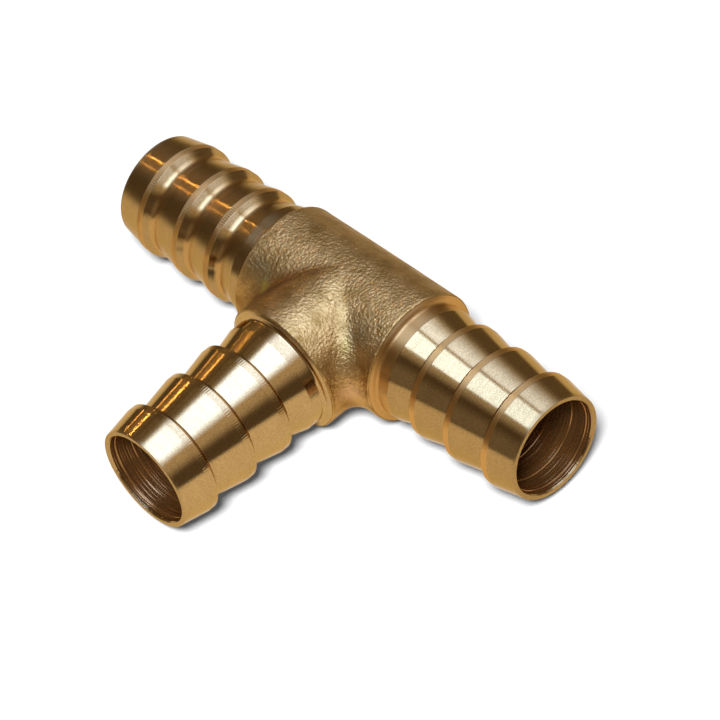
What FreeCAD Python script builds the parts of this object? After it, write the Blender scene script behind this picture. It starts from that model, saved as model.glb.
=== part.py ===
import FreeCAD, Part
import Sketcher
import os

from FreeCAD import Vector

# Hose barb tee made from one forging, with three alike turned spigots.
# The origin is where the three axes cross. The run lies along X, the branch
# points to -Y and +Z is up. Sizes are in millimetres.

doc = FreeCAD.newDocument("HoseBarbTee")
sheet = doc.addObject("Spreadsheet::Sheet", "Sizes")

DRIVING_SIZES = [
    # waterway
    ("bore_radius", 5.65),
    ("mouth_chamfer", 0.22),
    # metal around it: at the tip, in the valleys, from valley to crest, and at the root
    ("tip_wall", 0.7),
    ("valley_wall", 0.55),
    ("barb_height", 0.8),
    ("root_wall", 1.25),
    # turned spigot, from the forged body outwards
    ("root_land", 1.85),
    ("root_cone", 2.54),
    ("back_length", 0.85),
    ("crest_land", 0.88),
    ("inner_cone", 3.55),
    ("outer_cone", 4.07),
    ("nose_length", 3.5),
    ("root_relief", 0.22),
    ("valley_relief", 0.3),
    ("tip_break", 0.06),
    # forged body: its step above the root land, the blend between its two barrels,
    # and the plain barrel left between that blend and the machined end face
    ("shoulder", 1.0),
    ("branch_inset", 0.05),
    ("crotch_radius", 2.6),
    ("crotch_flat", 0.4),
    ("body_edge_break", 0.15),
]

# Radii, and stations along a spigot measured from the crossing of the axes.
STATIONS = [
    ("mouth_radius", "=bore_radius + mouth_chamfer"),
    ("tip_radius", "=bore_radius + tip_wall"),
    ("valley_radius", "=bore_radius + valley_wall"),
    ("crest_radius", "=valley_radius + barb_height"),
    ("root_radius", "=bore_radius + root_wall"),
    ("run_barrel_radius", "=root_radius + shoulder"),
    ("branch_barrel_radius", "=run_barrel_radius - branch_inset"),
    ("body_reach", "=run_barrel_radius + crotch_radius + crotch_flat"),
    ("branch_face", "=-body_reach"),
    ("root_start", "=body_reach + root_land"),
    ("valley_three", "=root_start + root_cone"),
    ("crest_three_back", "=valley_three + back_length"),
    ("crest_three", "=crest_three_back + crest_land"),
    ("valley_two", "=crest_three + inner_cone"),
    ("crest_two_back", "=valley_two + back_length"),
    ("crest_two", "=crest_two_back + crest_land"),
    ("valley_one", "=crest_two + outer_cone"),
    ("crest_one_back", "=valley_one + back_length"),
    ("crest_one", "=crest_one_back + crest_land"),
    ("reach", "=crest_one + nose_length"),
    ("mouth_start", "=reach - mouth_chamfer"),
]

for row, (alias, value) in enumerate(DRIVING_SIZES + STATIONS, start=1):
    cell = "B%d" % row
    sheet.set("A%d" % row, alias.replace("_", " "))
    sheet.set(cell, str(value))
    sheet.setAlias(cell, alias)
doc.recompute()

tee = doc.addObject("PartDesign::Body", "Tee")
tee.Label = "tee"


def size(alias):
    return float(sheet.get(alias)) if alias else 0.0


def origin_part(role):
    return next(item for item in tee.Origin.OriginFeatures if item.Role == role)


def add_profile(name, corners):
    # A closed outline on the XY plane. A corner without an alias lies on that axis.
    sketch = tee.newObject("Sketcher::SketchObject", name)
    sketch.AttachmentSupport = (origin_part("XY_Plane"), "")
    sketch.MapMode = "FlatFace"
    spots = [Vector(size(along), size(out), 0) for along, out in corners]
    total = len(corners)
    for i in range(total):
        sketch.addGeometry(Part.LineSegment(spots[i], spots[(i + 1) % total]), False)
    for i in range(total):
        sketch.addConstraint(Sketcher.Constraint("Coincident", i, 2, (i + 1) % total, 1))
    for i, (along, out) in enumerate(corners):
        for kind, alias, axis_line in (("DistanceX", along, -2), ("DistanceY", out, -1)):
            if alias:
                fixed = Sketcher.Constraint(kind, -1, 1, i, 1, size(alias))
                number = sketch.addConstraint(fixed)
                sketch.setExpression("Constraints[%d]" % number, "Sizes." + alias)
            else:
                sketch.addConstraint(Sketcher.Constraint("PointOnObject", i, 1, axis_line))
    return sketch


def add_turned(kind, name, corners, axis):
    outline = add_profile(name + "Outline", corners)
    turned = tee.newObject(kind, name)
    turned.Profile = outline
    turned.ReferenceAxis = (outline, [axis])
    turned.Angle = 360
    outline.Visibility = False
    doc.recompute()
    return turned


def repeat_on_arms(name, feature):
    # The same turned form on the +X, -Y and -X arms.
    pattern = tee.newObject("PartDesign::PolarPattern", name)
    pattern.Originals = [feature]
    pattern.Axis = (origin_part("Z_Axis"), [""])
    pattern.Angle = 180
    pattern.Occurrences = 3
    pattern.Reversed = True
    tee.Tip = pattern
    doc.recompute()
    return pattern


def add_edge_work(kind, name, wanted, setting, alias):
    base = tee.Tip
    names = ["Edge%d" % i for i, edge in enumerate(base.Shape.Edges, start=1) if wanted(edge)]
    work = tee.newObject(kind, name)
    work.Base = (base, names)
    setattr(work, setting, size(alias))
    work.setExpression(setting, "Sizes." + alias)
    tee.Tip = work
    doc.recompute()
    return work


def is_ring(edge, radius, station=None):
    # A full circle of that radius, and at that distance from the crossing if one is given.
    if not isinstance(edge.Curve, Part.Circle):
        return False
    if abs(edge.Curve.Radius - size(radius)) > 1e-4:
        return False
    return station is None or abs(edge.Curve.Center.Length - size(station)) < 1e-4


def is_crotch(edge):
    return not isinstance(edge.Curve, (Part.Circle, Part.Line))


# Forged body: two barrels that cross, blended where they meet.
add_turned("PartDesign::Revolution", "RunBarrel", [
    (None, None),
    ("body_reach", None),
    ("body_reach", "run_barrel_radius"),
    (None, "run_barrel_radius"),
], "H_Axis")
run_half = tee.Tip
mirror = tee.newObject("PartDesign::Mirrored", "RunBarrelBothWays")
mirror.Originals = [run_half]
mirror.MirrorPlane = (origin_part("YZ_Plane"), [""])
tee.Tip = mirror
doc.recompute()

add_turned("PartDesign::Revolution", "BranchBarrel", [
    (None, None),
    ("branch_barrel_radius", None),
    ("branch_barrel_radius", "branch_face"),
    (None, "branch_face"),
], "V_Axis")
add_edge_work("PartDesign::Fillet", "CrotchBlend", is_crotch, "Radius", "crotch_radius")

# Turned spigots: nose cone, three crests with steep backs, root cone and root land.
spigot = add_turned("PartDesign::Revolution", "Spigot", [
    (None, None),
    (None, "root_radius"),
    ("root_start", "root_radius"),
    ("valley_three", "valley_radius"),
    ("crest_three_back", "crest_radius"),
    ("crest_three", "crest_radius"),
    ("valley_two", "valley_radius"),
    ("crest_two_back", "crest_radius"),
    ("crest_two", "crest_radius"),
    ("valley_one", "valley_radius"),
    ("crest_one_back", "crest_radius"),
    ("crest_one", "crest_radius"),
    ("reach", "tip_radius"),
    ("reach", None),
], "H_Axis")
repeat_on_arms("Spigots", spigot)
add_edge_work("PartDesign::Chamfer", "ValleyReliefs",
              lambda edge: is_ring(edge, "valley_radius"), "Size", "valley_relief")
add_edge_work("PartDesign::Chamfer", "RootReliefs",
              lambda edge: is_ring(edge, "root_radius", "body_reach"), "Size", "root_relief")
add_edge_work("PartDesign::Chamfer", "TipBreaks",
              lambda edge: is_ring(edge, "tip_radius", "reach"), "Size", "tip_break")
add_edge_work("PartDesign::Chamfer", "BodyEdgeBreaks",
              lambda edge: (is_ring(edge, "run_barrel_radius", "body_reach")
                            or is_ring(edge, "branch_barrel_radius", "body_reach")),
              "Size", "body_edge_break")

# Waterway: one bore from each tip to the crossing, with a chamfered mouth.
bore = add_turned("PartDesign::Groove", "Bore", [
    (None, None),
    ("reach", None),
    ("reach", "mouth_radius"),
    ("mouth_start", "bore_radius"),
    (None, "bore_radius"),
], "H_Axis")
repeat_on_arms("Waterway", bore)

doc.recompute()
for item in doc.Objects:
    if "Invalid" in item.State or "Error" in item.State:
        raise RuntimeError("%s did not build: %s" % (item.Name, item.State))
solid = tee.Shape
if solid.isNull() or not solid.isValid() or len(solid.Solids) != 1:
    raise RuntimeError("the tee is not one valid solid")
print("volume %.1f mm3, box %s" % (solid.Volume, solid.BoundBox))

os.makedirs("parts", exist_ok=True)
solid.exportStep("parts/%s.step" % tee.Label)
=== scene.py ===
import math

import bmesh
import bpy
import numpy as np
from mathutils import Matrix, Vector


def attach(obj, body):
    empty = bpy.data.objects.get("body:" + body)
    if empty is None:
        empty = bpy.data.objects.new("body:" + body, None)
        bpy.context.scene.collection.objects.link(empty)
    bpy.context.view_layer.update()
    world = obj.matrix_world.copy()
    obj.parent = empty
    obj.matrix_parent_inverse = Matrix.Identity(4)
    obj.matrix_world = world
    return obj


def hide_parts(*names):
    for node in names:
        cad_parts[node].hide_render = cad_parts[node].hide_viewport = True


# Hose barb tee in brass: a forged, blasted body and three turned spigots.
# The run lies along X and the branch points to -Y. Sizes here are in millimetres
# and become metres where a mesh is made.

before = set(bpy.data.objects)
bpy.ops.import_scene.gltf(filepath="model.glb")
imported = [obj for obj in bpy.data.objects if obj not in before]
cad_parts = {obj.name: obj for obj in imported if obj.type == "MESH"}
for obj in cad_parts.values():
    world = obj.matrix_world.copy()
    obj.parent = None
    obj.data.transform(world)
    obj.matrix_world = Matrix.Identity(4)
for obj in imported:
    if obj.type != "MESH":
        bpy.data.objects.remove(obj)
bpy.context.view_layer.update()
mm = 0.001


# Helpers shared by every piece

def linearFrom(hexCode):
    # sRGB hex to linear RGBA
    channels = [int(hexCode[i:i + 2], 16) / 255 for i in (1, 3, 5)]
    return tuple(c / 12.92 if c <= 0.04045 else ((c + 0.055) / 1.055) ** 2.4 for c in channels) + (1.0,)


def addNode(tree, kind, inputs=None, **settings):
    # one node, its settings, and its inputs: a value, a socket, or a node for that node's first output
    node = tree.nodes.new(kind)
    for name, value in settings.items():
        setattr(node, name, value)
    for socket, value in (inputs or {}).items():
        if isinstance(value, bpy.types.Node):
            value = value.outputs[0]
        if isinstance(value, bpy.types.NodeSocket):
            tree.links.new(value, node.inputs[socket])
        else:
            node.inputs[socket].default_value = value
    return node


def newMaterial(name):
    material = bpy.data.materials.new(name)
    material.use_nodes = True
    material.node_tree.nodes.clear()
    return material, material.node_tree


def newShapeTree(name, sockets):
    # a Geometry Nodes tree with a geometry in and out, and the named inputs
    tree = bpy.data.node_groups.new(name, "GeometryNodeTree")
    tree.interface.new_socket("Geometry", in_out="INPUT", socket_type="NodeSocketGeometry")
    tree.interface.new_socket("Geometry", in_out="OUTPUT", socket_type="NodeSocketGeometry")
    for label, kind in sockets:
        tree.interface.new_socket(label, in_out="INPUT", socket_type=kind)
    return tree


def shapeWith(tree, piece, values):
    # sets the tree's inputs by identifier, and keeps the result as the piece's plain mesh
    modifier = piece.modifiers.new(tree.name, "NODES")
    modifier.node_group = tree
    for item in tree.interface.items_tree:
        if item.in_out == "INPUT" and item.name in values:
            modifier[item.identifier] = values[item.name]
    depsgraph = bpy.context.evaluated_depsgraph_get()
    made = bpy.data.meshes.new_from_object(piece.evaluated_get(depsgraph), depsgraph=depsgraph)
    piece.modifiers.remove(modifier)
    if made.materials and made.materials[0] is None:
        made.materials.pop(index=0)     # the empty slot that the plain mesh came with
    piece.data = made
    made.name = piece.name


def newPiece(name, vertices, faces, edges=()):
    mesh = bpy.data.meshes.new(name)
    mesh.from_pydata([tuple(v) for v in vertices], list(edges), list(faces))
    piece = bpy.data.objects.new(name, mesh)
    bpy.context.scene.collection.objects.link(piece)
    return piece


def addFloatMark(mesh, name, values):
    mark = mesh.attributes.new(name, "FLOAT", "POINT")
    mark.data.foreach_set("value", np.asarray(values, np.float32))


# Camera, from the photograph's viewing angle

viewPoint = {
    "azimuth": 54.1513,       # degrees round the object from -Y
    "elevation": 46.6686,
    "roll": -11.1979,
    "distance": 561.39,       # mm from the crossing of the axes
    "across": 0.8186,         # mm, slide of the camera across the picture
    "up": -5.21,              # mm, slide of it up the picture
    "fieldOfView": 8.12836,   # degrees across the square picture
}


def addCamera():
    a, e, r = (math.radians(viewPoint[k]) for k in ("azimuth", "elevation", "roll"))
    back = Vector((math.sin(a) * math.cos(e), -math.cos(a) * math.cos(e), math.sin(e)))
    right = (-back).cross(Vector((0, 0, 1))).normalized()
    up = right.cross(-back)
    turnedRight = math.cos(r) * right + math.sin(r) * up
    turnedUp = -math.sin(r) * right + math.cos(r) * up
    spot = back * viewPoint["distance"] + turnedRight * viewPoint["across"] + turnedUp * viewPoint["up"]
    data = bpy.data.cameras.new("camera")
    data.sensor_width = 36
    data.lens = data.sensor_width / 2 / math.tan(math.radians(viewPoint["fieldOfView"]) / 2)
    data.clip_start, data.clip_end = 0.01, 20     # m
    camera = bpy.data.objects.new("camera", data)
    camera.matrix_world = Matrix((turnedRight, turnedUp, back)).transposed().to_4x4()
    camera.location = spot * mm
    bpy.context.scene.collection.objects.link(camera)
    bpy.context.scene.camera = camera
    return back, turnedRight, turnedUp


viewBack, viewRight, viewUp = addCamera()
print("camera ready")


# Materials

turnedLook = {
    "colour": "#CBA266",        # yellow brass, freshly turned
    "darkColour": "#957242",
    "runShade": "#EDE9E0",       # painted shade: both arms of the run are darkened a little, for the shaded paper that they mirror
    "edgeColour": "#EDDABC",    # keeps the brass colour where it is seen at a flat angle
    "roughness": 0.155,
    "stretch": 0.88,            # how much further a highlight spreads along the arm than round it
    "wornRoughness": 0.38,      # where the spigots are worn or less finely turned
    "wornColour": "#C8914C",
    "leftRoughness": 0.045,     # how much duller the left arm is
    "roughSpread": (1.35, 0.75),    # times the roughness, where the tone is dark and light
    "toneSpan": (0.3, 0.7),     # what is dark and light for that
    "grooveSize": (0.16, 6.0),  # mm along the arm and round it, coarser than the tool's real marks
    "grooveDepth": 0.0019,      # mm
    "smearSize": (2.4, 4.5),    # mm along the arm and round it, patches of tarnish
    "grainSize": 0.16,          # mm, fine pitting all over
    "grainTone": 0.32,          # how much of the colour's change follows the pitting
    "grainSpan": (0.36, 0.64),  # the noise that gives the dark and the light colour
    "grainDepth": 0.0026,       # mm
    "ticksRound": 147,          # ticks round a crest land, where the tool chattered
    "tickPatches": (0.42, 0.58, 0.15),      # noise where ticks are weakest and fullest, and how weak
    "tickDepth": 0.016,         # mm
    "tickColour": "#5E4222",
    "tickShare": 0.75,
    "tickSpan": (0.1, 0.9),     # height of a tick where that colour starts and is full
}


def addArmNoise(tree, place, arm, size, detail, roughness):
    # noise with one size in mm along an arm and another round it, different on each arm
    along, around = size
    stretched = addNode(tree, "ShaderNodeVectorMath", {
        0: place.outputs["Vector"], 1: (1 / (along * mm), 1 / (around * mm), 1 / (around * mm))},
        operation="MULTIPLY")
    return addNode(tree, "ShaderNodeTexNoise", {
        "Vector": stretched, "W": arm.outputs["Fac"], "Scale": 1.0, "Detail": detail,
        "Roughness": roughness}, noise_dimensions="4D").outputs["Fac"]


def makeTurnedBrass():
    # Turned brass: fine rings from the tool stretch each highlight along the arm, and
    # the lands carry short ticks where the tool shook.
    look = turnedLook
    material, tree = newMaterial("turnedBrass")
    place, arm, axis, tanned, worn, ticks = [
        addNode(tree, "ShaderNodeAttribute", attribute_name=name)
        for name in ("armPlace", "armNumber", "armAxis", "toneMark", "wornMark", "tickMark")]
    spread = addNode(tree, "ShaderNodeSeparateXYZ", {"Vector": place.outputs["Vector"]})
    rings = addArmNoise(tree, place, arm, look["grooveSize"], 3.0, 0.6)
    smears = addArmNoise(tree, place, arm, look["smearSize"], 3.0, 0.6)
    angle = addNode(tree, "ShaderNodeMath", {0: spread.outputs["Z"], 1: spread.outputs["Y"]},
                    operation="ARCTAN2")
    turns = addNode(tree, "ShaderNodeMath", {0: angle, 1: look["ticksRound"]}, operation="MULTIPLY")
    wave = addNode(tree, "ShaderNodeMath", {0: turns}, operation="COSINE")
    weakest, fullest, weak = look["tickPatches"]
    patch = addNode(tree, "ShaderNodeMapRange", {
        "Value": smears, "From Min": weakest, "From Max": fullest, "To Min": weak})
    tickHere = addNode(tree, "ShaderNodeMath", {0: patch, 1: ticks.outputs["Fac"]}, operation="MULTIPLY")
    tickHeight = addNode(tree, "ShaderNodeMath", {0: wave, 1: tickHere}, operation="MULTIPLY")
    grain = addNode(tree, "ShaderNodeTexNoise", {
        "Vector": place.outputs["Vector"], "Scale": 1 / (look["grainSize"] * mm), "Detail": 1.0})
    normal = {}
    for height, depth in ((grain.outputs["Fac"], look["grainDepth"]), (rings, look["grooveDepth"]),
                          (tickHeight, look["tickDepth"])):
        bump = addNode(tree, "ShaderNodeBump", {"Height": height, "Distance": depth * mm, **normal})
        normal = {"Normal": bump.outputs["Normal"]}
    tone = addNode(tree, "ShaderNodeMix", {"A": rings, "B": smears, "Factor": 0.5}, data_type="FLOAT")
    darkGrain, lightGrain = look["grainSpan"]
    speckle = addNode(tree, "ShaderNodeMapRange", {
        "Value": grain.outputs["Fac"], "From Min": darkGrain, "From Max": lightGrain})
    speckled = addNode(tree, "ShaderNodeMix", {
        "A": tone, "B": speckle, "Factor": look["grainTone"]}, data_type="FLOAT")
    fresh = addNode(tree, "ShaderNodeMix", {
        "Factor": speckled, 6: linearFrom(look["darkColour"]), 7: linearFrom(look["colour"])},
        data_type="RGBA")
    # the branch is arm number 1, so this gives 0 on it and 1 on both arms of the run, 0 and 2
    fromBranch = addNode(tree, "ShaderNodeMath", {0: arm.outputs["Fac"], 1: 1.0}, operation="SUBTRACT")
    onRun = addNode(tree, "ShaderNodeMath", {0: fromBranch}, operation="ABSOLUTE")
    # painted shade: the colour of both arms of the run is multiplied darker
    colour = addNode(tree, "ShaderNodeMix", {
        "Factor": onRun, 6: fresh.outputs[2], 7: linearFrom(look["runShade"])},
        data_type="RGBA", blend_type="MULTIPLY")
    lowTick, highTick = look["tickSpan"]
    tickTone = addNode(tree, "ShaderNodeMapRange", {
        "Value": tickHeight, "From Min": lowTick, "From Max": highTick, "To Max": look["tickShare"]})
    wornColour = addNode(tree, "ShaderNodeMix", {
        "Factor": tanned.outputs["Fac"], 6: colour.outputs[2], 7: linearFrom(look["wornColour"])},
        data_type="RGBA")
    ticked = addNode(tree, "ShaderNodeMix", {
        "Factor": tickTone, 6: wornColour.outputs[2], 7: linearFrom(look["tickColour"])},
        data_type="RGBA")
    darkTone, lightTone = look["toneSpan"]
    onDark, onLight = look["roughSpread"]
    # the left arm is number 2
    rough = addNode(tree, "ShaderNodeMapRange", {
        "Value": tone, "From Min": darkTone, "From Max": lightTone,
        "To Min": look["roughness"] * onDark, "To Max": look["roughness"] * onLight})
    leftArm = addNode(tree, "ShaderNodeMapRange", {
        "Value": arm.outputs["Fac"], "From Min": 1.0, "From Max": 2.0, "To Max": look["leftRoughness"]})
    armRough = addNode(tree, "ShaderNodeMath", {0: rough, 1: leftArm})
    roughHere = addNode(tree, "ShaderNodeMix", {
        "Factor": worn.outputs["Fac"], "A": armRough, "B": look["wornRoughness"]},
        data_type="FLOAT")
    shader = addNode(tree, "ShaderNodeBsdfPrincipled", {
        "Base Color": ticked.outputs[2], "Metallic": 1.0, "Roughness": roughHere,
        "Anisotropic": look["stretch"], "Tangent": axis.outputs["Vector"],
        "Specular Tint": linearFrom(look["edgeColour"]), **normal})
    addNode(tree, "ShaderNodeOutputMaterial", {"Surface": shader})
    return material


boredLook = {
    "colour": "#B4834A",        # drilled brass, browner where the cutting oil has dried
    "darkColour": "#6E4526",
    "edgeColour": "#D9AE7E",
    "roughness": 0.24,
    "stretch": 0.6,
    "bareMetal": 0.86,          # the rest is oil film and dust
    "lineSize": (0.21, 9.0),    # mm along the bore and round it, the drill's lines
    "lineDepth": 0.15,          # mm
    "filmSize": (3.0, 2.6),     # mm along the bore and round it, patches of oil film
}


def makeBoredBrass():
    # Drilled brass: coarse rings from the drill break the light into arcs down the bore.
    look = boredLook
    material, tree = newMaterial("boredBrass")
    place, arm, axis = [addNode(tree, "ShaderNodeAttribute", attribute_name=name)
                        for name in ("armPlace", "armNumber", "armAxis")]
    lines = addArmNoise(tree, place, arm, look["lineSize"], 1.0, 0.5)
    film = addArmNoise(tree, place, arm, look["filmSize"], 3.0, 0.5)
    bump = addNode(tree, "ShaderNodeBump", {"Height": lines, "Distance": look["lineDepth"] * mm})
    tone = addNode(tree, "ShaderNodeMix", {"A": lines, "B": film, "Factor": 0.5}, data_type="FLOAT")
    colour = addNode(tree, "ShaderNodeMix", {
        "Factor": tone, 6: linearFrom(look["darkColour"]), 7: linearFrom(look["colour"])},
        data_type="RGBA")
    shader = addNode(tree, "ShaderNodeBsdfPrincipled", {
        "Base Color": colour.outputs[2], "Metallic": look["bareMetal"], "Roughness": look["roughness"],
        "Anisotropic": look["stretch"], "Tangent": axis.outputs["Vector"],
        "Specular Tint": linearFrom(look["edgeColour"]), "Normal": bump.outputs["Normal"]})
    addNode(tree, "ShaderNodeOutputMaterial", {"Surface": shader})
    return material


forgedLook = {
    "colour": "#C59450",        # forged brass after blasting: duller than the turned metal
    "darkColour": "#916528",
    "roughness": 0.40,
    "dullRoughness": 0.48,      # in the dark mottling
    "edgeColour": "#DACDB8",
    "dentSpacing": 0.36,        # mm, dents left by the shot
    "dentDepth": 0.058,         # mm
    "dentSmoothness": 0.35,     # how softly one dent runs into the next
    "grainSize": 0.16,          # mm, fine roughness inside them
    "grainDepth": 0.056,        # mm
    "mottleSize": 2.6,          # mm
    "mottleSpan": (0.28, 0.58),     # the mottling's noise that gives the dark and the light colour
    # what the marks on the skin are coloured, and how strongly
    "marks": {
        "creaseShadeMark": ("#8E5E2C", 0.62),    # painted shade along the blend's crease and low in the corner between the branch and the right arm
        "stainMark": ("#DCB850", 0.9),
        "greyMark": ("#776840", 0.40),
        "patchMark": ("#CC9C74", 0.45),
    },
}


def makeForgedBrass():
    # Blasted forging skin: small dents scatter the light, so it looks satin and grainy.
    look = forgedLook
    material, tree = newMaterial("forgedBrass")
    where = addNode(tree, "ShaderNodeTexCoord").outputs["Object"]
    grain = addNode(tree, "ShaderNodeTexNoise", {
        "Vector": where, "Scale": 1 / (look["grainSize"] * mm), "Detail": 1.0})
    dents = addNode(tree, "ShaderNodeTexVoronoi", {
        "Vector": where, "Scale": 1 / (look["dentSpacing"] * mm), "Smoothness": look["dentSmoothness"]},
        feature="SMOOTH_F1")
    dentBump = addNode(tree, "ShaderNodeBump", {
        "Height": dents.outputs["Distance"], "Distance": look["dentDepth"] * mm})
    bump = addNode(tree, "ShaderNodeBump", {
        "Height": grain.outputs["Fac"], "Distance": look["grainDepth"] * mm,
        "Normal": dentBump.outputs["Normal"]})
    mottle = addNode(tree, "ShaderNodeTexNoise", {
        "Vector": where, "Scale": 1 / (look["mottleSize"] * mm), "Detail": 5.0, "Roughness": 0.6})
    darkMottle, lightMottle = look["mottleSpan"]
    spread = addNode(tree, "ShaderNodeMapRange", {
        "Value": mottle.outputs["Fac"], "From Min": darkMottle, "From Max": lightMottle})
    colour = addNode(tree, "ShaderNodeMix", {
        "Factor": spread, 6: linearFrom(look["darkColour"]), 7: linearFrom(look["colour"])},
        data_type="RGBA").outputs[2]
    for name, (hexCode, share) in look["marks"].items():
        mark = addNode(tree, "ShaderNodeAttribute", attribute_name=name)
        here = addNode(tree, "ShaderNodeMath", {0: mark.outputs["Fac"], 1: share}, operation="MULTIPLY")
        colour = addNode(tree, "ShaderNodeMix", {
            "Factor": here, 6: colour, 7: linearFrom(hexCode)}, data_type="RGBA").outputs[2]
    rough = addNode(tree, "ShaderNodeMapRange", {
        "Value": spread, "To Min": look["dullRoughness"], "To Max": look["roughness"]})
    shader = addNode(tree, "ShaderNodeBsdfPrincipled", {
        "Base Color": colour, "Metallic": 1.0, "Roughness": rough,
        "Specular Tint": linearFrom(look["edgeColour"]), "Normal": bump.outputs["Normal"]})
    addNode(tree, "ShaderNodeOutputMaterial", {"Surface": shader})
    return material


turnedBrass, boredBrass, forgedBrass = makeTurnedBrass(), makeBoredBrass(), makeForgedBrass()
print("materials ready")


# Spigots: one turned profile, swept round each arm

spigotForm = {
    "segments": 320,            # facets round an arm
    "arcStep": 14.0,            # degrees of bend per facet at a rounded corner
    "sideShare": 0.45,          # how much of a side one corner's rounding may take
    "flatGuard": 0.03,          # mm from a corner to the point that keeps the straight beside it flat
    "longestStep": 0.55,        # mm between two points along a straight
    "weld": 0.0001,             # mm, points that are nearer become one
    "burr": 0.10,               # mm, how ragged the inner edge of the mouth is
    "burrScale": 14.0,          # its notches in the length of a radius
    "landChatter": 0.004,       # mm
    "chatterScale": 26.0,       # its waves in the length of a radius
    # (station from the crossing, radius, corner rounding) in mm, from the body's edge
    "root": [(10.60, 7.50, 0), (10.735, 7.745, 0), (10.96, 7.42, 0.30), (11.14, 6.90, 0.75),
             (12.75, 6.90, 0.15)],
    "crests": [(16.20, 17.02), (21.48, 22.30), (27.28, 28.10)],     # the flat land on each
    "crestRadius": 7.0,
    "crestRounding": (0.06, 0.12),      # at the back of a land and at its front
    "coneSlopes": [0.2756, 0.2254, 0.1966],     # each cone inward of a crest, fall per length
    "tip": (31.60, 6.35, 0.06),
    "inside": [
        # the drill's steps catch the light as thin rings
        (31.60, 5.87, 0.05), (31.38, 5.72, 0.04),
        (30.74, 5.72, 0.03), (30.66, 5.64, 0.03), (28.64, 5.64, 0.03), (28.55, 5.57, 0.03),
        (25.68, 5.57, 0.03), (25.59, 5.50, 0.03), (14.00, 5.50, 0.10), (13.00, 5.65, 0.10),
        (10.60, 5.65, 0),
    ],
    # what a point of the profile belongs to, told by its station and radius in mm
    "zones": {
        "outside": 6.0,                 # over this radius
        "landMargin": 0.02,             # a land without this much at its edges
        "foot": 12.72,                  # before this station
        "valleys": (12.9, 28.0, 6.45),  # between two stations and under a radius
        "lip": (31.52, 5.8),            # past a station and over a radius
        "mouth": (31.3, 5.9),           # past a station and under a radius
        "bore": (31.36, 5.75),          # before a station and under a radius
    },
    "lipWear": 0.8,
    "toneShares": (0.7, 2.0),   # how strongly wear tans the foot and the valleys
    # turn from +X in degrees, length of a barb's back, rounding of its valley, and how much the lands
    # are worn, the foot is worn, the valleys are worn and the lands are ticked; the photograph shows
    # rounder valleys and more ticks on the left arm
    "arms": {
        "spigotRight": {"turn": 0.0, "back": 0.58, "rounding": 0.14, "wear": (1.0, 1.0, 0.0, 0.12)},
        "spigotBranch": {"turn": -90.0, "back": 0.58, "rounding": 0.14, "wear": (0.0, 0.0, 0.0, 0.22)},
        "spigotLeft": {"turn": 180.0, "back": 0.98, "rounding": 1.05, "wear": (1.0, 0.0, 0.2, 1.0)},
    },
}


def outsideCorners(back, rounding):
    form = spigotForm
    crest = form["crestRadius"]
    atBack, atFront = form["crestRounding"]
    corners = list(form["root"])
    x, y = corners[-1][:2]
    for (start, end), slope in zip(form["crests"], form["coneSlopes"]):
        valley = start - back
        corners += [(valley, y - slope * (valley - x), rounding),
                    (start, crest, atBack), (end, crest, atFront)]
        x, y = end, crest
    return corners + [form["tip"]]


def roundedLoop(corners, arcStep, sideShare):
    # corner list to points, each corner rounded by an arc that is tangent to both sides
    points = []
    total = len(corners)
    for i, (x, y, rounding) in enumerate(corners):
        here = np.array((x, y))
        if rounding == 0:
            points.append(here)
            continue
        before = np.array(corners[i - 1][:2]) - here
        after = np.array(corners[(i + 1) % total][:2]) - here
        lengthBefore, lengthAfter = np.linalg.norm(before), np.linalg.norm(after)
        before, after = before / lengthBefore, after / lengthAfter
        opening = math.acos(np.clip(before @ after, -1, 1))
        bend = math.pi - opening
        tangent = min(rounding * math.tan(bend / 2), sideShare * lengthBefore, sideShare * lengthAfter)
        radius = tangent / math.tan(bend / 2)
        middle = (before + after) / np.linalg.norm(before + after)
        centre = here + middle * radius / math.sin(opening / 2)
        start, end = here + before * tangent, here + after * tangent
        a0 = math.atan2(*(start - centre)[::-1])
        a1 = math.atan2(*(end - centre)[::-1])
        turn = (a1 - a0 + math.pi) % (2 * math.pi) - math.pi
        steps = max(2, math.ceil(abs(math.degrees(turn)) / arcStep))
        for k in range(steps + 1):
            angle = a0 + turn * k / steps
            points.append(centre + radius * np.array((math.cos(angle), math.sin(angle))))
    return np.array(points)


def holdFlats(points, guard, longest):
    # extra points near the ends of each straight, so that shading stays flat along it
    held = []
    total = len(points)
    for i in range(total):
        here, there = points[i], points[(i + 1) % total]
        length = np.linalg.norm(there - here)
        held.append(here)
        if length > 4 * guard:
            inner = max(1, math.ceil((length - 2 * guard) / longest))
            shares = [guard / length + (1 - 2 * guard / length) * k / inner for k in range(inner + 1)]
            held += [here + (there - here) * s for s in shares]
    return np.array(held)


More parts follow.
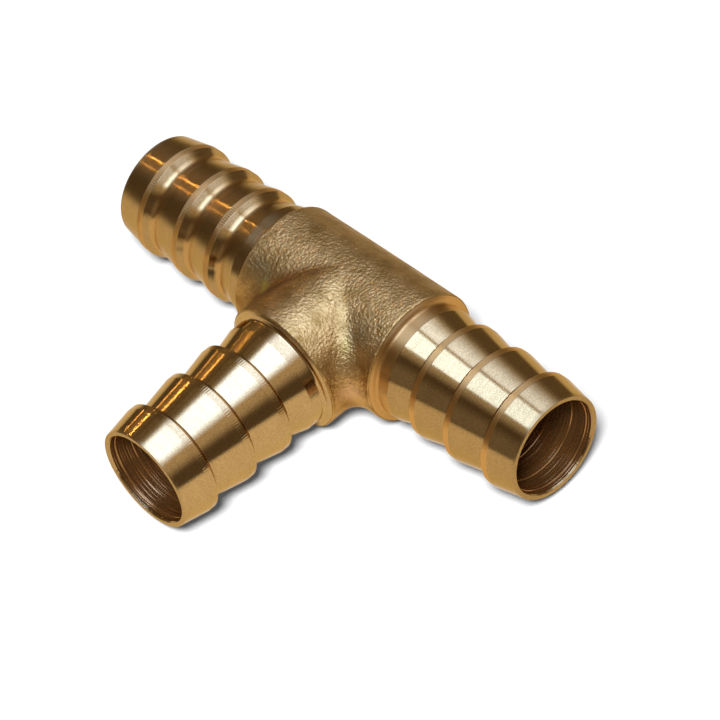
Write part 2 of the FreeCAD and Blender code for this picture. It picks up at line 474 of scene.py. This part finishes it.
def makeSpigotProfile(name, arm):
    form = spigotForm
    corners = outsideCorners(arm["back"], arm["rounding"]) + form["inside"]
    loop = roundedLoop(corners, form["arcStep"], form["sideShare"])
    loop = holdFlats(loop, form["flatGuard"], form["longestStep"])
    total = len(loop)
    profile = newPiece(name, [(x * mm, y * mm, 0) for x, y in loop], (),
                       [(i, (i + 1) % total) for i in range(total)])
    station, radius = loop[:, 0], loop[:, 1]
    zones = form["zones"]
    outside = radius > zones["outside"]
    foot = outside & (station < zones["foot"])
    first, last, low = zones["valleys"]
    valley = outside & (station > first) & (station < last) & (radius < low)
    land = np.zeros(total)
    margin = zones["landMargin"]
    for start, end in form["crests"]:
        land[outside & (station > start + margin) & (station < end - margin)] = 1.0
    landWear, footWear, valleyWear, ticks = arm["wear"]
    worn = np.where((station > zones["lip"][0]) & (radius > zones["lip"][1]), form["lipWear"], 0.0)
    worn[foot] = footWear
    worn[valley] = valleyWear
    worn[land > 0] = landWear
    tone = land * landWear
    tone[foot] = form["toneShares"][0] * footWear
    tone[valley] = form["toneShares"][1] * valleyWear
    mouth = (station > zones["mouth"][0]) & (radius < zones["mouth"][1])
    inBore = (station < zones["bore"][0]) & (radius < zones["bore"][1])
    for markName, values in (("toneMark", tone), ("tickMark", land * ticks), ("wornMark", worn),
                             ("mouthMark", mouth), ("boreMark", inBore)):
        addFloatMark(profile.data, markName, values)
    return profile


def makeTurningTree():
    # sweeps a closed profile (X along the arm, Y the radius) round the arm's own X axis
    tree = newShapeTree("turnedSpigot", [
        ("Segments", "NodeSocketInt"), ("Arm turn", "NodeSocketFloat"), ("Burr", "NodeSocketFloat"),
        ("Land chatter", "NodeSocketFloat"), ("Seed", "NodeSocketFloat"),
        ("Turned finish", "NodeSocketMaterial"), ("Bored finish", "NodeSocketMaterial")])
    given = addNode(tree, "NodeGroupInput").outputs
    count = addNode(tree, "GeometryNodeAttributeDomainSize", {"Geometry": given["Geometry"]},
                    component="MESH")
    rows = addNode(tree, "ShaderNodeMath", {0: count.outputs["Point Count"], 1: 1.0})
    columns = addNode(tree, "ShaderNodeMath", {0: given["Segments"], 1: 1.0})
    grid = addNode(tree, "GeometryNodeMeshGrid", {
        "Size X": 1.0, "Size Y": 1.0, "Vertices X": rows, "Vertices Y": columns})
    index = addNode(tree, "GeometryNodeInputIndex")
    rowShare = addNode(tree, "ShaderNodeMath", {0: index, 1: columns}, operation="DIVIDE")
    row = addNode(tree, "ShaderNodeMath", {0: rowShare}, operation="FLOOR")
    column = addNode(tree, "ShaderNodeMath", {0: index, 1: columns}, operation="MODULO")
    profileRow = addNode(tree, "ShaderNodeMath", {0: row, 1: count.outputs["Point Count"]},
                         operation="MODULO")
    position = addNode(tree, "GeometryNodeInputPosition")
    point = addNode(tree, "GeometryNodeSampleIndex", {
        "Geometry": given["Geometry"], "Value": position, "Index": profileRow},
        data_type="FLOAT_VECTOR", domain="POINT")
    marks = {}
    for name in ("toneMark", "tickMark", "wornMark", "mouthMark", "boreMark"):
        stored = addNode(tree, "GeometryNodeInputNamedAttribute", {"Name": name}, data_type="FLOAT")
        marks[name] = addNode(tree, "GeometryNodeSampleIndex", {
            "Geometry": given["Geometry"], "Value": stored.outputs["Attribute"],
            "Index": profileRow}, data_type="FLOAT", domain="POINT")
    spread = addNode(tree, "ShaderNodeSeparateXYZ", {"Vector": point})
    share = addNode(tree, "ShaderNodeMath", {0: column, 1: given["Segments"]}, operation="DIVIDE")
    angle = addNode(tree, "ShaderNodeMath", {0: share, 1: 2 * math.pi}, operation="MULTIPLY")
    cosine, sine = [addNode(tree, "ShaderNodeMath", {0: angle}, operation=kind)
                    for kind in ("COSINE", "SINE")]
    # burr at the mouth moves a point in or out, and chatter on the lands moves it only in
    unit = addNode(tree, "ShaderNodeCombineXYZ", {"X": spread.outputs["X"], "Y": cosine, "Z": sine})
    moves = []
    for mark, depth, highest, noise in (
            ("mouthMark", "Burr", 0.5, {"Scale": spigotForm["burrScale"], "Detail": 3.0, "Roughness": 0.7}),
            ("tickMark", "Land chatter", 1.0, {"Scale": spigotForm["chatterScale"], "Detail": 1.0})):
        texture = addNode(tree, "ShaderNodeTexNoise", {
            "Vector": unit, "W": given["Seed"], **noise}, noise_dimensions="4D")
        height = addNode(tree, "ShaderNodeMath", {0: texture, 1: highest}, operation="SUBTRACT")
        depthHere = addNode(tree, "ShaderNodeMath", {0: marks[mark], 1: given[depth]}, operation="MULTIPLY")
        moves.append(addNode(tree, "ShaderNodeMath", {0: height, 1: depthHere}, operation="MULTIPLY"))
    move = addNode(tree, "ShaderNodeMath", {0: moves[0], 1: moves[1]})
    radius = addNode(tree, "ShaderNodeMath", {0: spread.outputs["Y"], 1: move})
    across, upward = [addNode(tree, "ShaderNodeMath", {0: radius, 1: part}, operation="MULTIPLY")
                      for part in (cosine, sine)]
    swept = addNode(tree, "ShaderNodeCombineXYZ", {"X": spread.outputs["X"], "Y": across, "Z": upward})
    axis = addNode(tree, "ShaderNodeCombineXYZ", {
        "X": addNode(tree, "ShaderNodeMath", {0: given["Arm turn"]}, operation="COSINE"),
        "Y": addNode(tree, "ShaderNodeMath", {0: given["Arm turn"]}, operation="SINE")})
    # the grid is turned over so that its faces point outwards, and every mark is stored before a point
    # moves or merges, because the rows are told apart by the grid's own numbering
    geometry = addNode(tree, "GeometryNodeFlipFaces", {"Mesh": grid.outputs["Mesh"]})
    for name, kind, value in (
            ("armPlace", "FLOAT_VECTOR", swept), ("toneMark", "FLOAT", marks["toneMark"]),
            ("tickMark", "FLOAT", marks["tickMark"]), ("wornMark", "FLOAT", marks["wornMark"]),
            ("boreMark", "FLOAT", marks["boreMark"]), ("armNumber", "FLOAT", given["Seed"]),
            ("armAxis", "FLOAT_VECTOR", axis)):
        geometry = addNode(tree, "GeometryNodeStoreNamedAttribute", {
            "Geometry": geometry, "Name": name, "Value": value}, data_type=kind, domain="POINT")
    saved = addNode(tree, "GeometryNodeInputNamedAttribute", {"Name": "armPlace"}, data_type="FLOAT_VECTOR")
    moved = addNode(tree, "GeometryNodeSetPosition", {
        "Geometry": geometry, "Position": saved.outputs["Attribute"]})
    welded = addNode(tree, "GeometryNodeMergeByDistance", {
        "Geometry": moved, "Distance": spigotForm["weld"] * mm})
    turned = addNode(tree, "GeometryNodeTransform", {
        "Geometry": welded,
        "Rotation": addNode(tree, "ShaderNodeCombineXYZ", {"Z": given["Arm turn"]})})
    smooth = addNode(tree, "GeometryNodeSetShadeSmooth", {"Geometry": turned})
    real = addNode(tree, "GeometryNodeRealizeInstances", {"Geometry": smooth})
    outside = addNode(tree, "GeometryNodeSetMaterial", {
        "Geometry": real, "Material": given["Turned finish"]})
    boreFaces = addNode(tree, "GeometryNodeInputNamedAttribute", {"Name": "boreMark"}, data_type="FLOAT")
    inBore = addNode(tree, "FunctionNodeCompare", {
        0: boreFaces.outputs["Attribute"], 1: 0.5}, data_type="FLOAT", operation="GREATER_THAN")
    inside = addNode(tree, "GeometryNodeSetMaterial", {
        "Geometry": outside, "Selection": inBore, "Material": given["Bored finish"]})
    addNode(tree, "NodeGroupOutput", {"Geometry": inside})
    return tree


def makeSpigots():
    tree = makeTurningTree()
    spigots = []
    for number, (name, arm) in enumerate(spigotForm["arms"].items()):
        spigot = makeSpigotProfile(name, arm)
        shapeWith(tree, spigot, {
            "Segments": spigotForm["segments"], "Arm turn": math.radians(arm["turn"]),
            "Burr": spigotForm["burr"] * mm, "Land chatter": spigotForm["landChatter"] * mm,
            "Seed": float(number), "Turned finish": turnedBrass, "Bored finish": boredBrass})
        spigots.append(spigot)
    return spigots


spigots = makeSpigots()
print("spigots ready", [len(s.data.polygons) for s in spigots])


# Forged body: two crossing barrels with a rolled blend between them

bodyForm = {
    "barrelRadius": 7.9,        # mm, as all lengths here
    "blendRadius": 2.6,
    "reach": 10.9,              # machined end faces
    "edgeBreak": 0.15,          # how far inside them the skin stops, behind the spigots' shoulders
    "edgeRoll": (0.24, 0.14),   # how far in from the end face the skin starts to fall, and by how much
    "waterwayRadius": 5.66,     # a hair over the spigots' own 5.65, so that the two never share a surface
    "rowsRound": 150,           # facets over half a barrel
    "columnsAlong": 66,         # facets from the blend to an end face
    "columnsBlend": 25,         # across the blend
    "columnsWaterway": 12,      # down the waterway of one arm
    "ringsOnFace": 4,           # rings of facets from the edge of an end face to the waterway
    "weld": 0.002,              # mm, points that are nearer become one
    "skinMargin": 0.5,          # mm beyond the waterway's radius where a point counts as skin
    "skinFade": (0.3, 0.2),     # mm from an end face to full relief, and the share of it at the face
    "skinTop": 0.68,            # noise over this leaves the skin at the solid's own surface
    "grainSize": 0.34,          # mm, the larger dents left by the shot
    "grainDepth": 0.036,
    "swellSize": 3.2,           # mm, slow waves from the dies
    "swellDepth": 0.07,
    "seed": 11.0,
    # marks on the skin, in mm: the line or spot each follows, how far it reaches and how strong it is
    "marks": {
        # painted shade: a soft dark band along the blend's crease, and darkening low in the corner between
        # the branch and the right arm
        "creaseShadeMark": [
            (((-9.69, -7.86, 1.33), (-7.9, -7.85, 3.9), (-5.24, -7.74, 5.85), (-4.2, -4.24, 6.84),
              (-2.16, -2.19, 7.61)), 1.05, 1.0),
            (((-2.16, -2.19, 7.61), (-0.34, -0.83, 7.86)), 0.6, 0.6),
            (((7.9, -10.1, 0.3), (8.1, -9.2, -0.9), (8.0, -8.1, -2.9)), 0.9, 0.9)],
        "stainMark": [(((-6.84, -6.03, 5.29), (-6.4, -6.7, 5.2)), 0.55, 1.0),
                      (((6.63, -6.36, 5.16), (6.9, -6.9, 4.6)), 0.5, 0.2)],
        "greyMark": [(((-8.71, -5.21, 5.94), (-7.4, -5.6, 5.7)), 1.3, 1.0),
                     (((7.38, -5.27, 5.88),), 1.4, 0.8),
                     (((-9.5, 5.2, 5.9), (9.5, 5.2, 5.9)), 1.8, 0.8)],
        "patchMark": [(((8.73, -8.53, 0.36),), 1.3, 1.0)],
    },
    # centre, reach and depth of each, in mm
    "pits": [((2.34, -4.39, 7.49), 0.30, 0.12), ((3.23, -4.24, 7.16), 0.26, 0.10)],
}


def crossingBarrels(radius, blend, columns, fall):
    # Grids of (x, y, z) in mm: for +X and then for -X a half of the run and a half of the branch, and
    # last the back of the run. The rows go round a barrel, from its lowest line to its highest.
    form = bodyForm
    end, rollStart = form["reach"] - form["edgeBreak"], form["edgeRoll"][0]
    v = np.linspace(-math.pi / 2, math.pi / 2, form["rowsRound"] + 1)[:, None]
    side, height = radius * np.cos(v), radius * np.sin(v)
    start = (radius + blend) * np.cos(v)
    reach = start + np.linspace(0, 1, columns + 1)[None, :] * (end - start)
    across = np.linspace(-end, end, 2 * columns + 1)[None, :]
    roll, rollBack = [1 - fall / radius * np.clip((abs(x) - end + rollStart) / rollStart, 0, 1) ** 2
                      for x in (reach, across)]
    halves = [[np.stack([mirror * reach, -side * roll, height * roll], -1),
               np.stack([mirror * side * roll, -reach, height * roll], -1)] for mirror in (1, -1)]
    return halves, np.stack([across * np.ones_like(v), side * rollBack, height * rollBack], -1)


def bodySkinPatches():
    form = bodyForm
    barrel, blend = form["barrelRadius"], form["blendRadius"]
    (right, left), back = crossingBarrels(barrel, blend, form["columnsAlong"], form["edgeRoll"][1])
    # the ball that rolls in the corner touches the run along one line and the branch along another
    v = np.linspace(-math.pi / 2, math.pi / 2, form["rowsRound"] + 1)[:, None]
    out, up = (barrel + blend) * np.cos(v), (barrel + blend) * np.sin(v)
    centre = np.stack([out, -out, up], -1)
    toRun = np.stack([0 * v, np.cos(v), -np.sin(v)], -1)
    toBranch = np.stack([-np.cos(v), 0 * v, -np.sin(v)], -1)
    opening = np.arccos(np.clip((toRun * toBranch).sum(-1), -1, 1))
    share = np.linspace(0, 1, form["columnsBlend"] + 1)[None, :]
    safe = np.maximum(np.sin(opening), 1e-9)
    weightRun = np.where(opening > 1e-5, np.sin((1 - share) * opening) / safe, 1 - share)
    weightBranch = np.where(opening > 1e-5, np.sin(share * opening) / safe, share)
    corner = centre + blend * (weightRun[..., None] * toRun + weightBranch[..., None] * toBranch)
    return right + [corner] + left + [corner * np.array((-1, 1, 1))] + [back]


def waterwayPatches():
    (right, left), back = crossingBarrels(bodyForm["waterwayRadius"], 0, bodyForm["columnsWaterway"], 0)
    return right + left + [back]


def endFacePatches():
    # closes the shell behind each spigot's own end face
    form = bodyForm
    turns = np.linspace(-math.pi / 2, 3 * math.pi / 2, 2 * form["rowsRound"] + 1)[:, None]
    steps = np.linspace(0, 1, form["ringsOnFace"] + 1)[None, :]
    inner, outer = form["waterwayRadius"], form["barrelRadius"] - form["edgeRoll"][1]
    radius = outer + steps * (inner - outer)
    along = (form["reach"] - form["edgeBreak"]) * np.ones_like(turns * steps)
    patches = []
    for arm in ((1, 0), (-1, 0), (0, -1)):
        across, height = radius * np.cos(turns), radius * np.sin(turns)
        if arm[0]:
            patches.append(np.stack([arm[0] * along, across, height], -1))
        else:
            patches.append(np.stack([across, -along, height], -1))
    return patches


def nearnessTo(spots, line, reach):
    # 1 on the line or spot, falling softly to 0 beyond its reach
    line = np.array(line, float)
    starts, ends = (line, line) if len(line) == 1 else (line[:-1], line[1:])
    nearest = np.full(len(spots), np.inf)
    for start, end in zip(starts, ends):
        along = end - start
        share = np.clip((spots - start) @ along / max(along @ along, 1e-9), 0, 1)
        nearest = np.minimum(nearest, np.linalg.norm(spots - start - share[:, None] * along, axis=1))
    return np.exp(-(nearest / reach) ** 2)


def makeBodyShell():
    vertices, faces, finishes = [], [], []
    offset = 0
    for finish, patches in enumerate((bodySkinPatches(), endFacePatches(), waterwayPatches())):
        for patch in patches:
            rows, columns = patch.shape[:2]
            numbers = np.arange(rows * columns).reshape(rows, columns) + offset
            quads = np.stack([numbers[:-1, :-1], numbers[1:, :-1], numbers[1:, 1:], numbers[:-1, 1:]], -1)
            faces.append(quads.reshape(-1, 4))
            vertices.append(patch.reshape(-1, 3))
            finishes.append(np.full(len(faces[-1]), finish))
            offset += rows * columns
    vertices = np.concatenate(vertices) * mm
    body = newPiece("forgedBody", vertices, np.concatenate(faces).tolist())
    marks = body.data.attributes.new("finish", "INT", "FACE")
    marks.data.foreach_set("value", np.concatenate(finishes).astype(np.int32))
    shell = bmesh.new()
    shell.from_mesh(body.data)
    bmesh.ops.remove_doubles(shell, verts=shell.verts, dist=bodyForm["weld"] * mm)
    bmesh.ops.recalc_face_normals(shell, faces=shell.faces)
    shell.to_mesh(body.data)
    shell.free()
    # how much relief a point takes: none in the waterway or straight behind it on the back of the run,
    # a little at the end faces, and all of it a short way in from them
    spots = np.empty(len(body.data.vertices) * 3)
    body.data.vertices.foreach_get("co", spots)
    spots = spots.reshape(-1, 3) / mm
    end = bodyForm["reach"] - bodyForm["edgeBreak"]
    inward = np.minimum(end - abs(spots[:, 0]), end + spots[:, 1])
    fromRun = np.hypot(spots[:, 1], spots[:, 2])
    fromBranch = np.hypot(spots[:, 0], spots[:, 2])
    skin = np.minimum(fromRun, fromBranch) > bodyForm["waterwayRadius"] + bodyForm["skinMargin"]
    fade, least = bodyForm["skinFade"]
    relief = np.where(skin, np.clip(inward / fade, least, 1), 0)
    addFloatMark(body.data, "relief", relief)
    for name, places in bodyForm["marks"].items():
        near = [strength * nearnessTo(spots, line, reach) for line, reach, strength in places]
        addFloatMark(body.data, name, np.max(near, axis=0))
    sink = sum(depth * nearnessTo(spots, [centre], reach) for centre, reach, depth in bodyForm["pits"])
    outward = np.empty(len(spots) * 3)
    body.data.vertices.foreach_get("normal", outward)
    spots = (spots - outward.reshape(-1, 3) * (sink * relief)[:, None]) * mm
    body.data.vertices.foreach_set("co", spots.ravel())
    return body


def makeSkinTree():
    tree = newShapeTree("forgedSkin", [
        ("Grain size", "NodeSocketFloat"), ("Grain depth", "NodeSocketFloat"),
        ("Swell size", "NodeSocketFloat"), ("Swell depth", "NodeSocketFloat"), ("Seed", "NodeSocketFloat"),
        ("Skin finish", "NodeSocketMaterial"), ("Turned finish", "NodeSocketMaterial"),
        ("Bored finish", "NodeSocketMaterial")])
    given = addNode(tree, "NodeGroupInput").outputs
    position = addNode(tree, "GeometryNodeInputPosition")
    heights = []
    for size, depth, detail in (("Grain size", "Grain depth", 1.0), ("Swell size", "Swell depth", 2.0)):
        scale = addNode(tree, "ShaderNodeMath", {0: 1.0, 1: given[size]}, operation="DIVIDE")
        texture = addNode(tree, "ShaderNodeTexNoise", {
            "Vector": position, "W": given["Seed"], "Scale": scale, "Detail": detail},
            noise_dimensions="4D")
        low = addNode(tree, "ShaderNodeMath", {0: texture, 1: bodyForm["skinTop"]}, operation="SUBTRACT")
        lowest = addNode(tree, "ShaderNodeMath", {0: low, 1: 0.0}, operation="MINIMUM")
        heights.append(addNode(tree, "ShaderNodeMath", {0: lowest, 1: given[depth]}, operation="MULTIPLY"))
    height = addNode(tree, "ShaderNodeMath", {0: heights[0], 1: heights[1]})
    relief = addNode(tree, "GeometryNodeInputNamedAttribute", {"Name": "relief"}, data_type="FLOAT")
    rise = addNode(tree, "ShaderNodeMath", {0: height, 1: relief.outputs["Attribute"]},
                   operation="MULTIPLY")
    normal = addNode(tree, "GeometryNodeInputNormal")
    offset = addNode(tree, "ShaderNodeVectorMath", {0: normal, "Scale": rise}, operation="SCALE")
    moved = addNode(tree, "GeometryNodeSetPosition", {"Geometry": given["Geometry"], "Offset": offset})
    placed = addNode(tree, "GeometryNodeStoreNamedAttribute", {
        "Geometry": moved, "Name": "armPlace",
        "Value": addNode(tree, "GeometryNodeInputPosition")},
        data_type="FLOAT_VECTOR", domain="POINT")
    smooth = addNode(tree, "GeometryNodeSetShadeSmooth", {"Geometry": placed})
    geometry = addNode(tree, "GeometryNodeRealizeInstances", {"Geometry": smooth})
    finish = addNode(tree, "GeometryNodeInputNamedAttribute", {"Name": "finish"}, data_type="INT")
    for number, label in enumerate(("Skin finish", "Turned finish", "Bored finish")):
        chosen = addNode(tree, "FunctionNodeCompare", {
            2: finish.outputs["Attribute"], 3: number}, data_type="INT", operation="EQUAL")
        geometry = addNode(tree, "GeometryNodeSetMaterial", {
            "Geometry": geometry, "Selection": chosen, "Material": given[label]})
    addNode(tree, "NodeGroupOutput", {"Geometry": geometry})
    return tree


def makeBody():
    body = makeBodyShell()
    shapeWith(makeSkinTree(), body, {
        "Grain size": bodyForm["grainSize"] * mm, "Grain depth": bodyForm["grainDepth"] * mm,
        "Swell size": bodyForm["swellSize"] * mm, "Swell depth": bodyForm["swellDepth"] * mm,
        "Seed": bodyForm["seed"], "Skin finish": forgedBrass, "Turned finish": turnedBrass,
        "Bored finish": boredBrass})
    return body


body = makeBody()
print("body ready", len(body.data.polygons))

for piece in [body] + spigots:
    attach(piece, "root")
    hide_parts("tee")
    piece.visible_diffuse = False       # keeps the brass from throwing coloured patches on the paper


# Floor and studio light

floorLook = {
    "colour": "#EBEBEB",
    "glow": 0.03,               # brightness that only the camera, reflections and glass would see
    "height": -7.9,             # mm
    "size": 6.0,                # m
    "pool": (0.07, 0.30),       # m from the middle, where a painted pool of light on the paper ends softly
    "beyond": 0.20,             # how much of that painted light is left outside it
}


def addFloor():
    half = floorLook["size"] / 2
    z = floorLook["height"] * mm
    corners = [(-half, -half, z), (half, -half, z), (half, half, z), (-half, half, z)]
    floor = newPiece("floor", corners, [(0, 1, 2, 3)])
    material, tree = newMaterial("whitePaper")
    path = addNode(tree, "ShaderNodeLightPath")
    seen = addNode(tree, "ShaderNodeMath", {
        0: path.outputs["Is Camera Ray"], 1: path.outputs["Is Glossy Ray"]})
    seenToo = addNode(tree, "ShaderNodeMath", {0: seen, 1: path.outputs["Is Transmission Ray"]},
                      use_clamp=True)
    where = addNode(tree, "ShaderNodeTexCoord").outputs["Object"]
    distance = addNode(tree, "ShaderNodeVectorMath", {0: where}, operation="LENGTH")
    inner, outer = floorLook["pool"]
    # painted pool of light: the paper's colour and its glow fade from the middle outwards
    pool = addNode(tree, "ShaderNodeMapRange", {
        "Value": distance.outputs["Value"], "From Min": inner, "From Max": outer,
        "To Min": 1.0, "To Max": floorLook["beyond"]})
    glowSeen = addNode(tree, "ShaderNodeMath", {0: seenToo, 1: floorLook["glow"]}, operation="MULTIPLY")
    glowHere = addNode(tree, "ShaderNodeMath", {0: glowSeen, 1: pool}, operation="MULTIPLY")
    glow = addNode(tree, "ShaderNodeEmission", {"Strength": glowHere})
    paper = addNode(tree, "ShaderNodeBsdfDiffuse", {
        "Color": addNode(tree, "ShaderNodeMix", {
            "Factor": pool, 6: (0.0, 0.0, 0.0, 1.0), 7: linearFrom(floorLook["colour"])},
            data_type="RGBA").outputs[2]})
    both = addNode(tree, "ShaderNodeAddShader", {0: paper, 1: glow})
    addNode(tree, "ShaderNodeOutputMaterial", {"Surface": both})
    floor.data.materials.append(material)


keyLamp = {
    "strength": 4.70,           # W/m2
    "softness": 13.5,           # degrees across, as seen from the object
    "towardLeft": 6.5,          # degrees to the left of the camera
    "towardTop": 8.0,           # degrees above it
}


def addKeyLamp():
    # Close to the camera, so that the shadow is only a narrow rim. It lights the paper, and the metal
    # doesn't mirror it.
    side = math.tan(math.radians(keyLamp["towardLeft"]))
    rise = math.tan(math.radians(keyLamp["towardTop"]))
    toward = (viewBack - viewRight * side + viewUp * rise).normalized()
    data = bpy.data.lights.new("keyLamp", "SUN")
    data.energy = keyLamp["strength"]
    data.angle = math.radians(keyLamp["softness"])
    lamp = bpy.data.objects.new("keyLamp", data)
    lamp.rotation_mode = "QUATERNION"
    lamp.rotation_quaternion = toward.to_track_quat("Z", "Y")
    lamp.visible_glossy = False
    bpy.context.scene.collection.objects.link(lamp)


# The studio as the object sees it. Places are degrees from straight up, x towards +X and
# y towards +Y, and each of a window's four edges has its own softness.
studio = {
    "room": ("#696159", 1.0),           # colour and strength of all that no window covers
    "floorFill": ("#484848", 1.0),      # the even light that the floor gets instead
    "windows": {
        # name: (left edge, right edge, near edge, far edge, colour, strength), and a later one covers
        # the ones before it
        "broadGlow": ((-20, 16), (54, 14), (-38, 10), (58, 16), "#EEF4FF", 1.0),
        "rightWall": ((22, 6), (56, 16), (-34, 10), (40, 14), "#E2DCD6", 1.0),
        "overheadPanel": ((-16, 6), (32, 10), (-26.8, 2), (6.2, 2.5), "#8AAEFF", 12.0),
        "farPanel": ((-17, 9), (31, 10), (11.5, 3), (37, 18), "#90B0FF", 8.6),
        "leftPanel": ((-38, 5), (-31, 3), (-24, 9), (20, 10), "#E0D4C4", 0.36),
        "warmWall": ((-74, 14), (-48, 11), (-14, 12), (33, 26), "#D8C4AC", 0.56),
        "nearWall": ((-30, 20), (40, 20), (-95, 6), (-58, 12), "#9A989D", 1.0),
        "farWall": ((-70, 14), (60, 20), (54, 14), (100, 6), "#7F7871", 1.0),
        "lampGlow": ((-64, 5), (-52, 3), (-10, 4), (12, 3), "#FFD9A4", 0.60),
        "lampHigh": ((-55.7, 0.4), (-54.4, 0.4), (8.9, 0.4), (10.2, 0.4), "#FFDC9C", 125.0),
        "lampNear": ((-58.4, 0.4), (-57.2, 0.4), (-5.7, 0.4), (-4.5, 0.4), "#FFD592", 60.0),
        "lampLow": ((-73.2, 0.4), (-72.2, 0.4), (12.9, 0.4), (14.0, 0.4), "#FFD592", 70.0),
    },
}


def addStudio():
    world = bpy.data.worlds.new("studio")
    world.use_nodes = True
    tree = world.node_tree
    tree.nodes.clear()
    way = addNode(tree, "ShaderNodeTexCoord").outputs["Generated"]
    spread = addNode(tree, "ShaderNodeSeparateXYZ", {"Vector": way})
    leanAngle = addNode(tree, "ShaderNodeMath", {0: spread.outputs["Z"]}, operation="ARCCOSINE")
    lean = addNode(tree, "ShaderNodeMath", {0: leanAngle, 1: 180 / math.pi}, operation="MULTIPLY")
    flatWay = addNode(tree, "ShaderNodeCombineXYZ", {"X": spread.outputs["X"], "Y": spread.outputs["Y"]})
    flatPart = addNode(tree, "ShaderNodeVectorMath", {0: flatWay}, operation="LENGTH")
    places = [addNode(tree, "ShaderNodeMath", {
        0: addNode(tree, "ShaderNodeMath", {0: spread.outputs[axis], 1: lean}, operation="MULTIPLY"),
        1: flatPart.outputs["Value"]}, operation="DIVIDE") for axis in ("X", "Y")]
    roomHex, roomStrength = studio["room"]
    light = tuple(c * roomStrength for c in linearFrom(roomHex))
    for left, right, near, far, hexCode, strength in studio["windows"].values():
        share = 1.0
        for place, (edge, soft), sign in ((places[0], left, 1), (places[0], right, -1),
                                          (places[1], near, 1), (places[1], far, -1)):
            ramp = addNode(tree, "ShaderNodeMapRange", {
                "Value": place, "From Min": edge - sign * soft, "From Max": edge + sign * soft},
                interpolation_type="SMOOTHSTEP")
            share = addNode(tree, "ShaderNodeMath", {0: share, 1: ramp}, operation="MULTIPLY")
        colour = tuple(c * strength for c in linearFrom(hexCode)[:3]) + (1,)
        light = addNode(tree, "ShaderNodeMix", {"Factor": share, 6: light, 7: colour},
                        data_type="RGBA").outputs[2]
    # the metal sees the windows, and the floor gets an even light
    fillHex, fillStrength = studio["floorFill"]
    path = addNode(tree, "ShaderNodeLightPath")
    final = addNode(tree, "ShaderNodeMix", {
        "Factor": path.outputs["Is Diffuse Ray"], 6: light,
        7: tuple(c * fillStrength for c in linearFrom(fillHex))}, data_type="RGBA")
    background = addNode(tree, "ShaderNodeBackground", {"Color": final.outputs[2]})
    addNode(tree, "ShaderNodeOutputWorld", {"Surface": background})
    world.cycles.sampling_method = "NONE"    # the paper then gets only the even light
    bpy.context.scene.world = world


addFloor()
addKeyLamp()
addStudio()
bpy.context.scene.view_settings.view_transform = "Standard"
print("studio ready")
